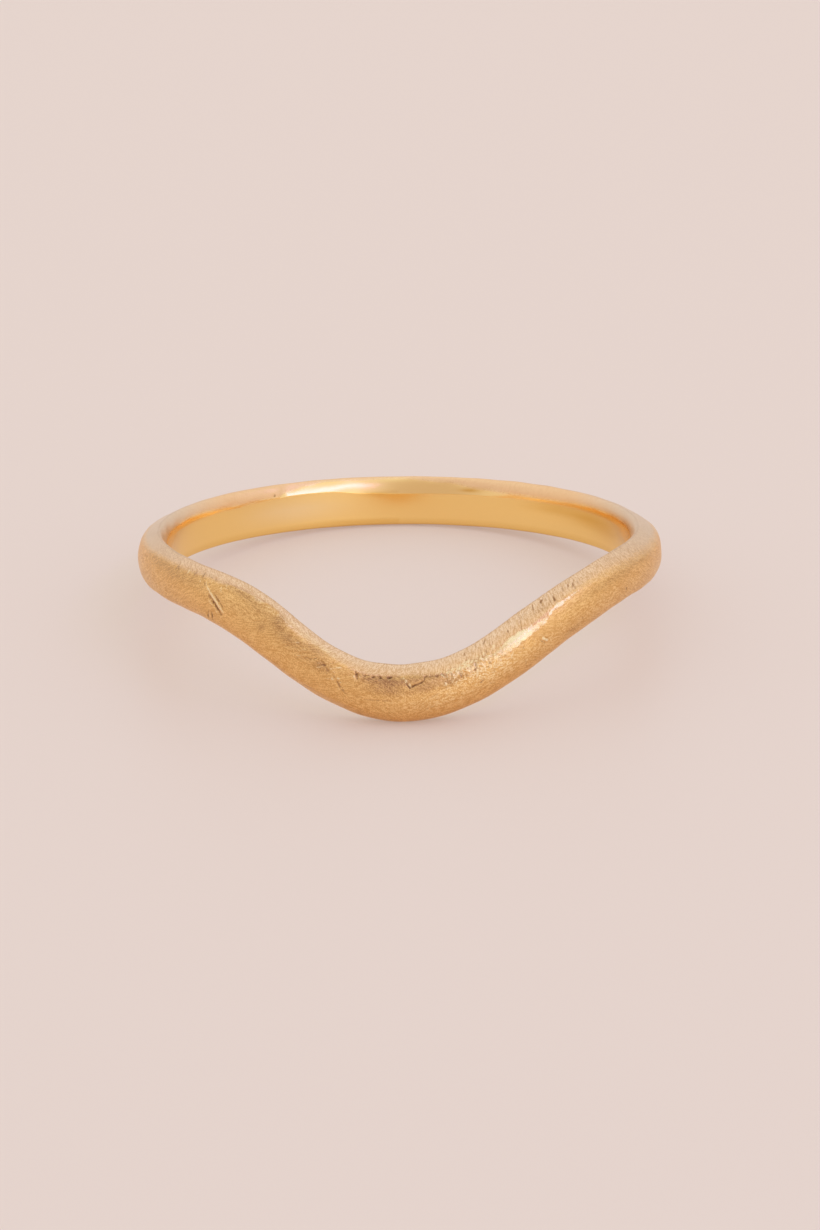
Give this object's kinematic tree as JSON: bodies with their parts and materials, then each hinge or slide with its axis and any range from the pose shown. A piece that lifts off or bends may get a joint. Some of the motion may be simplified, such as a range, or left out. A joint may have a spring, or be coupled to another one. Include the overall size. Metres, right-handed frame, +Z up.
{
  "type": "curved wedding band",
  "caption": "Plain curved wedding band: a hand-filed half-round gold ring whose front dips in a soft curve, to sit close against another ring.",
  "frame": {"origin": "on the surface that the ring lies on, under the middle of its bounding box", "axes": "+Z up, out of the surface; the middle of the dip faces -Y; +X to the right seen from the dip"},
  "size_m": [0.0192, 0.0196, 0.0044],
  "materials": {
    "gold": "hand-filed and matte outside, polished inside"
  },
  "bodies": {
    "root": {"band": "gold"}
  },
  "joints": []
}
